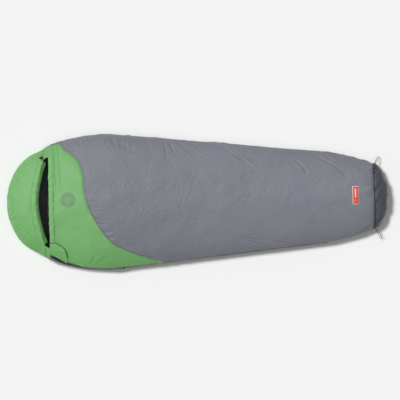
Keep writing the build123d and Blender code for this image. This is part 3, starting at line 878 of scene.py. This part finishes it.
def build_linings():
    def hood_end(turns):
        return leaned(under_point, turns, -0.002, HOOD_LEAN, depth=LINING_DEPTH)

    def bag_start(turns):
        return leaned(under_point, turns, 0.002, COLLAR_LEAN, depth=LINING_DEPTH)

    def at(distance):
        return lambda turns: distance + 0 * turns

    def rim(turns):
        return front_edge(turns) - 0.004

    lining_cloth("hood_front_lining", "hood", crown_point, at(0.022), rim, 90, "hood_lining")
    lining_cloth("hood_inner_lining", "hood", under_point, at(0.022), hood_end, 90, "hood_back_lining")
    lining_cloth(
        "bag_front_lining", "bag", crown_point, at(0.252), at(LINING_END), 190, "top_lining", "foot_lining"
    )
    lining_cloth("bag_back_lining", "bag", under_point, bag_start, at(LINING_END), 190, "bottom_lining")
    collar = [crown_point(np.array(0.287), np.array(turn), 0.036) for turn in np.linspace(-0.6, 0.6, 40)]
    seam = [crown_point(np.array(distance), np.array(-1.0)) for distance in np.linspace(0.36, 1.79, 60)]
    tube = [(x, y + 0.043, SEAM_HEIGHT) for x, y, _ in seam]
    for name, line, radius in (("draft_collar", collar, 0.012), ("draft_tube", tube, 0.0125)):
        roll = paint(tube_object(name + "_roll", line, radius), "lining")
        settle(roll, "bag", "lining", name)


def hem_sheet(name, edge, turns, side, width, seed):
    """Band over a free edge: stitched down behind it, rounded over it and turned in to the lining.

    side is 1 where the cloth lies on the head's side of the edge, and -1 where it lies on the foot's.
    """
    outer, inner = [], []
    for share in np.linspace(1, 0, 16):
        raised = HEM_LIFT * math.sin(math.pi * min(1.0, (1 - share) * 1.6) / 2) ** 0.8
        distance = edge(turns) - side * width * share
        outer.append(crown_point(distance, turns) + np.array([0, 0, raised - 0.0004]))
    tip, turned = outer[-1], crown_point(edge(turns), turns, LINING_DEPTH + 0.001)
    full = np.clip((0.205 - np.abs(tip[:, 1])) / 0.06, 0, 1)
    bow = side * (0.0006 + 0.0074 * full)
    for angle in np.linspace(0, math.pi, 12)[1:]:
        middle, arm = (tip + turned) / 2, (tip - turned) / 2
        inner.append(middle + arm * math.cos(angle) + np.stack([bow * math.sin(angle), 0 * bow, 0 * bow], -1))
    for share in np.linspace(0, 1, 5)[1:]:
        inner.append(crown_point(edge(turns) - side * HEM_INNER * share, turns, LINING_DEPTH + 0.001))
    grid = np.array(outer + inner)
    around = run_length(grid, 1)
    rows = np.arange(len(grid))[:, None] / len(grid)
    lean = 0.3 * waves(around * 14, rows * 3 + 0 * around, seed)
    bulge = waves(around / 0.016 + lean, rows * 4 + 0 * around, seed + 1)
    strength = 0.0022 * np.sin(np.pi * np.clip(rows * 1.25, 0, 1)) * (0.15 + 0.85 * full[None])
    normal = normals_of(grid)
    normal = normal * np.sign(normal[8:9, :, 2:3])
    return sheet_object(name, grid + (bulge * strength)[..., None] * normal)


def build_hood(sizes):
    look = sizes.sway, sizes.pucker, sizes.crease
    hood_cover("hood_front_cover", True, *look, "hood_shell", "hood_insulation")
    hood_cover("hood_back_cover", False, *look, "hood_back_shell", "hood_back_insulation")
    neck_gusset()


def build_hems():
    corner = float(turn_at(RIM_HALF / profile(np.array(RIM_CORNER))[0]))
    turns = np.linspace(-corner, corner, 240)
    hem = paint(hem_sheet("hood_rim_hem", front_edge, turns, 1, RIM_HEM, 61), "green")
    settle(hem, "hood", "green_shell", "hood_hem", "hood_drawcord")
    turns = np.linspace(-0.66, 0.80, 240)
    hem = paint(hem_sheet("collar_edge_hem", collar_start, turns, -1, COLLAR_HEM, 67), "green")
    settle(hem, "bag", "green_shell", "collar_hem", "collar_drawcord")


def zip_line(first, last, count, lift, over):
    """Points along the zip, lifted off it, and over it towards the crown."""
    distance = np.linspace(first, last, count)
    turn = zip_turn(distance)
    base = crown_point(distance, -turn)
    side = crown_point(distance, -turn + 1e-3) - base
    side /= np.linalg.norm(side, axis=-1, keepdims=True)
    along = np.gradient(base, axis=0)
    along /= np.linalg.norm(along, axis=-1, keepdims=True)
    normal = np.cross(along, side)
    normal *= np.sign(-normal[:, 1:2])
    return base + lift * normal + over * side


def build_zip():
    for name, sign in (("upper", 1), ("lower", -1)):
        shares = np.linspace(0.0009, 0.0125, 8)
        grid = np.stack([zip_line(0.232, ZIP_END, 420, -0.0030, sign * share) for share in shares], 1)
        tape = paint(sheet_object(f"zip_tape_{name}_cloth", grid, thickness=0.0009), "tape")
        settle(tape, "bag", "zip_tape", f"zip_tape_{name}")
        line = zip_line(0.262, ZIP_END, 1500, -0.0012, sign * 0.0022)
        teeth = row_object(f"zip_teeth_{name}", [line], "tooth", 0.0021, 0.0034, 0.0015, "coil")
        settle(teeth, "bag", "zip_coil", f"zip_coil_{name}")
    for name, material in (
        ("zip_slider", "painted"), ("zip_pull", "painted"), ("zip_pull_tab", "green"),
        ("zip_top_stops", "painted"), ("zip_box_stop", "painted"),
        ("loop_patch", "hook"), ("hook_patch", "hook"),
    ):
        paint(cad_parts[name], material)


def draped(points, lift, *covers):
    """Points in plan, given as (distance, y), laid on the named covers."""
    placed = on_surface(bvh(*covers), [(HEAD_X + s, y) for s, y in points], lift)
    return np.array([list(point) for point in placed])


def build_flap():
    """The flap over the zip's end, between its sewn edge and a rounded free one, given in plan."""
    free = np.array([(0.242, -0.228), (0.268, -0.226), (0.308, -0.246), (0.332, -0.276), (0.339, -0.308)])
    sewn_start, sewn_end = np.array([0.242, -0.285]), np.array([0.338, -0.343])
    step = np.linspace(0, 1, len(free))
    v = np.linspace(0, 1, 60)
    edge = np.stack([hermite(step, free[:, 0], v), hermite(step, free[:, 1], v)], -1)
    sewn = sewn_start + v[:, None] * (sewn_end - sewn_start)
    u = np.linspace(0, 1, 30)[:, None, None]
    plan = sewn[None] + u * (edge - sewn)[None]
    grid = crown_point(plan[..., 0], turn_at(plan[..., 1] / profile(plan[..., 0])[0]))
    lift = 0.0040 + 0.0022 * np.sin(np.pi * u[..., 0]) * np.sin(np.pi * v[None])
    lift = lift + 0.0007 * waves(plan[..., 0] * 55, plan[..., 1] * 55, 71)
    normal = normals_of(grid)
    normal *= np.sign(normal[..., 2:3])
    grid = grid + lift[..., None] * normal
    flap = paint(sheet_object("neck_flap_cloth", grid, thickness=0.0016), "green")
    settle(flap, "neck_flap", "green_shell", "neck_flap")
    # A tube rounds off the flap's free edge; its dark green is painted shade, for the shadow under the raised
    # edge
    edge_shade = paint(tube_object("neck_flap_binding", [tuple(p) for p in grid[-1]], 0.0022), "green_painted_shade")
    settle(edge_shade, "neck_flap", "green_shell")


def patch(name, place, size, lift, material):
    """Thin patch laid on the top cover: place and size in plan."""
    rows, columns = (max(3, int(side / 0.003)) for side in size)
    s = place[0] + np.linspace(-0.5, 0.5, rows) * size[0]
    y = place[1] + np.linspace(-0.5, 0.5, columns) * size[1]
    plan = [(a, b) for a in s for b in y]
    grid = draped(plan, lift, "top_cover").reshape(rows, columns, 3)
    return paint(sheet_object(name, grid, thickness=0.0006), material)


def label():
    """Woven label with plain bars and a dot for its print."""
    centre = (1.968, 0.007)
    nodes = ("label",)
    for name, place, size, lift, material in (
        ("label_border", centre, (0.036, 0.102), 0.0012, "label_pale"),
        ("label_face", centre, (0.031, 0.096), 0.0017, "label_red"),
        ("label_mark_bar", (1.9665, 0.020), (0.006, 0.052), 0.0021, "label_pale"),
        ("label_mark_dot", (1.9665, -0.024), (0.010, 0.016), 0.0021, "label_orange"),
        ("label_mark_line", (1.9755, 0.012), (0.0022, 0.060), 0.0021, "label_orange"),
    ):
        settle(patch(name, place, size, lift, material), "bag", "label", *nodes)
        nodes = ()


def piping():
    """Binding round the foot seam, and along the zip side of the foot's end."""
    over, under = np.linspace(-1, 1, 120), np.linspace(1, -1, 90)[1:-1]
    ring = section_ring(np.array(FOOT_SEAM), over, under)
    ring[:, 2] = np.maximum(ring[:, 2], 0.0025)
    seam = paint(tube_object("foot_seam_piping", ring, 0.0019, order=3, cyclic=True), "tape")
    settle(seam, "bag", "piping", "foot_piping")
    y = np.linspace(-0.162, -0.004, 40)
    half_widths, distances = [-0.187, -0.165, -0.125, -0.070], [2.075, 2.105, 2.132, 2.148]
    outline = np.minimum(np.interp(y / 0.955, half_widths, distances), 2.1465)
    end = draped(np.stack([outline, y], -1), 0.0006, "foot_cover")
    settle(paint(tube_object("foot_end_piping", end, 0.0018), "binding"), "bag", "piping")


def stitches(spacing):
    """Rows of stitches beside the seams, each given in plan, on the covers that it runs over."""
    share = np.linspace(-0.955, 0.955, 260)
    double_row = []
    for offset in (0.0035, 0.0075):
        seam = yoke_seam_at(share) + offset
        double_row.append(np.stack([seam, share * profile(seam)[0]], -1))
    y = np.linspace(-0.225, 0.225, 200)
    rim = np.stack([rim_distance(y, 0.0245), y], -1)
    y = np.linspace(-0.20, 0.27, 200)
    collar = np.stack([0.2705 + 0 * y, y], -1)
    y = np.linspace(-0.90, 0.90, 160) * profile(np.array(FOOT_SEAM - 0.005))[0]
    foot = np.stack([FOOT_SEAM - 0.006 + 0 * y, y], -1)
    size = spacing, STITCH_LENGTH, STITCH_THICKNESS
    grey, green = ("thread", "grey_shell"), ("green_thread", "green_shell")
    for name, rows, lift, body, (thread, slot), *covers in (
        ("yoke", double_row, 0.0004, "bag", grey, "top_cover", "chest_yoke_cover"),
        ("hood_rim", [rim], 0.0005, "hood", green, "hood_front_cover", "hood_rim_hem"),
        ("collar", [collar], 0.0005, "bag", green, "chest_yoke_cover", "collar_edge_hem"),
        ("foot", [foot], 0.0004, "bag", grey, "top_cover"),
    ):
        lines = [draped(plan, lift, *covers) for plan in rows]
        settle(row_object(name + "_stitches", lines, "stitch", *size, thread), body, slot)


def build_trim(sizes):
    label()
    emblem(sizes.emblem / 2)
    piping()
    stitches(sizes.stitch)


def arms(count):
    """Arms of length 1 at even turns round a circle."""
    turns = 2 * math.pi * np.arange(count) / count
    return np.stack([np.cos(turns), np.sin(turns)], -1)


def emblem(radius):
    """Printed ring of dots around plain rings and a dotted diamond, a mark that belongs to nobody."""
    centre = np.array([0.352, 0.0136])
    faces, points = [], []

    def dot(middle, size, count=10):
        start = len(points)
        points.extend([middle, *(middle + size * arms(count))])
        faces.extend([(start, start + 1 + k, start + 1 + (k + 1) % count) for k in range(count)])

    def ring(inner, outer, count=72):
        start = len(points)
        for arm in (*arms(count), np.array([1.0, 0.0])):
            points.extend([centre + inner * arm, centre + outer * arm])
        faces.extend([(a, a + 1, a + 3, a + 2) for a in range(start, start + 2 * count, 2)])

    for arm in arms(48):
        dot(centre + 0.95 * radius * arm, 0.0017)
    ring(0.80 * radius, 0.85 * radius)
    for arm in arms(30):
        dot(centre + 0.68 * radius * arm, 0.0021)
    ring(0.50 * radius, 0.56 * radius)
    corners = centre + 0.34 * radius * arms(4)
    for corner, after in zip(corners, np.roll(corners, -1, axis=0)):
        for step in range(4):
            dot(corner + (after - corner) * step / 4, 0.0021)
    placed = draped(points, 0.0006, "chest_yoke_cover")
    mesh = bpy.data.meshes.new("yoke_emblem")
    mesh.from_pydata(placed.tolist(), [], faces)
    mesh.update()
    settle(paint(linked("yoke_emblem", mesh), "print"), "bag", "green_shell")


LOOP_CORD, DRAWCORD, SPRING_WIRE = 0.003, 0.0024, 0.00056
# Each hang loop's route in millimetres (distance, y, z), and its length
LOOPS = {
    "hang_loop_plus": ((
        (2083, 185, 50), (2090, 196, 47), (2095, 207, 39), (2099, 215, 29), (2102, 220, 20), (2107, 223, 13),
        (2113, 222, 13), (2114, 217, 20), (2109, 211, 30), (2103, 204, 40), (2096, 194, 47), (2088, 184, 50),
    ), 0.127),
    "hang_loop_minus": ((
        (2083, -185, 50), (2089, -200, 49), (2096, -215, 45), (2102, -227, 39), (2107, -236, 33),
        (2113, -241, 29), (2119, -239, 29), (2119, -232, 33), (2114, -223, 39), (2106, -212, 45),
        (2098, -198, 49), (2089, -184, 50),
    ), 0.141),
}


def build_cords():
    for name, (route, length) in LOOPS.items():
        points = [(HEAD_X + distance / 1000, y / 1000, z / 1000) for distance, y, z in route]
        loop = paint(cord_object(name + "_cord", points, LOOP_CORD / 2), "cord")
        settle(loop, "bag", "cord", name)
        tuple(points[0])
    low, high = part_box("hood_drawcord_end")
    x, z = (low.x + high.x) / 2, (low.z + high.z) / 2
    points = [(x, y, z) for y in np.linspace(low.y, high.y, 5)]
    end = paint(cord_object("drawcord_end", points, DRAWCORD / 2), "cord")
    settle(end, "hood", "cord", "hood_drawcord_end")
    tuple(points[0])
    for name in ("cord_lock_barrel", "cord_lock_plunger"):
        paint(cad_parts[name], "plastic")
    low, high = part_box("cord_lock_spring")
    rings, inset = 3, 0.0003
    middle, radius = (low + high) / 2, (high.y - low.y) / 2 - inset
    coil = []
    for share in np.linspace(0, 1, 24 * rings + 1):
        turn = 2 * math.pi * rings * share
        x = low.x + inset + share * (high.x - low.x - 2 * inset)
        coil.append((x, middle.y + radius * math.cos(turn), middle.z + radius * math.sin(turn)))
    spring = paint(tube_object("lock_spring", coil, SPRING_WIRE / 2, order=3), "steel")
    settle(spring, "cord_lock", "spring_steel", "cord_lock_spring")
    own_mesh(spring)


def build_stage():
    size = 12.0
    mesh = bpy.data.meshes.new("floor")
    corners = [(-size, -size, 0), (size, -size, 0), (size, size, 0), (-size, size, 0)]
    mesh.from_pydata(corners, [], [(0, 1, 2, 3)])
    plain = bpy.data.materials.new("floor")
    plain.use_nodes = True
    shader = plain.node_tree.nodes["Principled BSDF"]
    shader.inputs["Base Color"].default_value = (0.97, 0.97, 0.97, 1)
    shader.inputs["Roughness"].default_value = 0.9
    floor = linked("floor", mesh)
    mesh.materials.append(plain)
    floor.location.z = -0.0005
    scene = bpy.context.scene
    scene.view_settings.view_transform = "Standard"
    world = bpy.data.worlds.new("studio")
    scene.world = world
    world.use_nodes = True
    background = world.node_tree.nodes["Background"]
    background.inputs["Color"].default_value = (1, 1, 1, 1)
    background.inputs["Strength"].default_value = 0.17
    for name, place, strength, angle in (
        ("key", (-0.50, 0.36, 1.0), 2.40, 14), ("fill", (0.2, -0.15, 1.0), 0.35, 60),
    ):
        lamp = bpy.data.lights.new(name, "SUN")
        lamp.energy = strength
        lamp.angle = math.radians(angle)
        light = bpy.data.objects.new(name, lamp)
        scene.collection.objects.link(light)
        light.location = place
        light.rotation_euler = Vector(place).to_track_quat("Z", "Y").to_euler()
    # A long lens straight above, far enough to see the field's width at the side seams' height
    field = 2.263
    lens = bpy.data.cameras.new("camera")
    lens.lens = 200
    lens.sensor_width = 36
    lens.clip_end = 100
    camera = bpy.data.objects.new("camera", lens)
    scene.collection.objects.link(camera)
    camera.location = (0.0172, -0.0019, SEAM_HEIGHT + field * 200 / 36)
    camera.rotation_euler = (0, 0, -0.0209)
    scene.camera = camera


# The add-on
def size_property(name, description, default, least=0.0):
    return bpy.props.FloatProperty(
        name=name, description=description, default=default, min=least, subtype="DISTANCE", unit="LENGTH"
    )


class SleepingBagSizes(bpy.types.PropertyGroup):
    sway: size_property("Sway", "Height of the covers' soft hollows", 0.0045)
    pucker: size_property("Pucker", "Height of the gathers beside a seam", 0.0055)
    crease: size_property("Crease", "Depth of the narrow creases beside the seams", 0.0060)
    stitch: size_property("Stitch", "Spacing of the stitches", 0.0048, 0.002)
    emblem: size_property("Emblem", "Diameter of the printed ring", 0.085, 0.02)


def color_property(name, description, default):
    return bpy.props.FloatVectorProperty(
        name=name, description=description, default=default, size=3, min=0, max=1, subtype="COLOR"
    )


class SleepingBagColors(bpy.types.PropertyGroup):
    grey: color_property("Grey", "Cloth of the covers", (0.205, 0.212, 0.250))
    green: color_property("Green", "Cloth of the hood and yoke", (0.182, 0.460, 0.150))
    foot: color_property("Foot", "Cloth of the foot end", (0.070, 0.073, 0.088))
    lining: color_property("Lining", "Cloth inside", (0.060, 0.070, 0.082))
    label: color_property("Label", "Ground of the woven label", (0.80, 0.060, 0.025))
    emblem: color_property("Emblem", "Print of the ring", (0.125, 0.110, 0.150))
    thread: color_property("Thread", "Thread of the grey seams", (0.095, 0.080, 0.125))


class SLEEPINGBAG_OT_stage(bpy.types.Operator):
    """Makes the materials, the floor, the light and the camera"""

    bl_idname = "sleeping_bag.stage"
    bl_label = "Stage"

    def execute(self, context):
        build_materials(context.scene.sleeping_bag_colors)
        build_stage()
        return {"FINISHED"}


class SLEEPINGBAG_OT_covers(bpy.types.Operator):
    """Makes the top, yoke, bottom and foot covers"""

    bl_idname = "sleeping_bag.covers"
    bl_label = "Covers"

    def execute(self, context):
        build_covers(context.scene.sleeping_bag_sizes)
        return {"FINISHED"}


class SLEEPINGBAG_OT_hood(bpy.types.Operator):
    """Makes the hood and the folded cloth at the neck"""

    bl_idname = "sleeping_bag.hood"
    bl_label = "Hood"

    def execute(self, context):
        build_hood(context.scene.sleeping_bag_sizes)
        return {"FINISHED"}


class SLEEPINGBAG_OT_linings(bpy.types.Operator):
    """Makes the linings and the padded rolls against draughts"""

    bl_idname = "sleeping_bag.linings"
    bl_label = "Linings"

    def execute(self, context):
        build_linings()
        return {"FINISHED"}


class SLEEPINGBAG_OT_hems(bpy.types.Operator):
    """Makes the drawcord hems of the hood and the collar"""

    bl_idname = "sleeping_bag.hems"
    bl_label = "Hems"

    def execute(self, context):
        build_hems()
        return {"FINISHED"}


class SLEEPINGBAG_OT_zip(bpy.types.Operator):
    """Makes the zip's tapes and teeth and paints its other parts"""

    bl_idname = "sleeping_bag.zip"
    bl_label = "Zip"

    def execute(self, context):
        build_zip()
        return {"FINISHED"}


class SLEEPINGBAG_OT_flap(bpy.types.Operator):
    """Makes the neck flap"""

    bl_idname = "sleeping_bag.flap"
    bl_label = "Neck flap"

    def execute(self, context):
        build_flap()
        return {"FINISHED"}


class SLEEPINGBAG_OT_trim(bpy.types.Operator):
    """Makes the label, the printed ring, the piping and the stitches"""

    bl_idname = "sleeping_bag.trim"
    bl_label = "Trim"

    def execute(self, context):
        build_trim(context.scene.sleeping_bag_sizes)
        return {"FINISHED"}


class SLEEPINGBAG_OT_cords(bpy.types.Operator):
    """Makes the hang loops and the drawcord's end and paints the cord lock"""

    bl_idname = "sleeping_bag.cords"
    bl_label = "Cords"

    def execute(self, context):
        build_cords()
        return {"FINISHED"}


class SLEEPINGBAG_PT_panel(bpy.types.Panel):
    bl_idname = "SLEEPINGBAG_PT_panel"
    bl_label = "Sleeping bag"
    bl_space_type = "VIEW_3D"
    bl_region_type = "UI"
    bl_category = "Sleeping bag"

    def draw(self, context):
        for group in (context.scene.sleeping_bag_sizes, context.scene.sleeping_bag_colors):
            for name in group.__annotations__:
                self.layout.prop(group, name)
        for step in STEPS:
            self.layout.operator(step.bl_idname)


STEPS = (
    SLEEPINGBAG_OT_stage, SLEEPINGBAG_OT_covers, SLEEPINGBAG_OT_hood, SLEEPINGBAG_OT_linings,
    SLEEPINGBAG_OT_hems, SLEEPINGBAG_OT_zip, SLEEPINGBAG_OT_flap, SLEEPINGBAG_OT_trim, SLEEPINGBAG_OT_cords,
)
CLASSES = (SleepingBagSizes, SleepingBagColors, *STEPS, SLEEPINGBAG_PT_panel)


def register():
    for item in CLASSES:
        bpy.utils.register_class(item)
    bpy.types.Scene.sleeping_bag_sizes = bpy.props.PointerProperty(type=SleepingBagSizes)
    bpy.types.Scene.sleeping_bag_colors = bpy.props.PointerProperty(type=SleepingBagColors)


def unregister():
    del bpy.types.Scene.sleeping_bag_colors
    del bpy.types.Scene.sleeping_bag_sizes
    for item in reversed(CLASSES):
        bpy.utils.unregister_class(item)


def main():
    register()
    bpy.ops.sleeping_bag.stage()
    bpy.ops.sleeping_bag.covers()
    bpy.ops.sleeping_bag.hood()
    bpy.ops.sleeping_bag.linings()
    bpy.ops.sleeping_bag.hems()
    bpy.ops.sleeping_bag.zip()
    bpy.ops.sleeping_bag.flap()
    bpy.ops.sleeping_bag.trim()
    bpy.ops.sleeping_bag.cords()


if __name__ == "__main__":
    main()
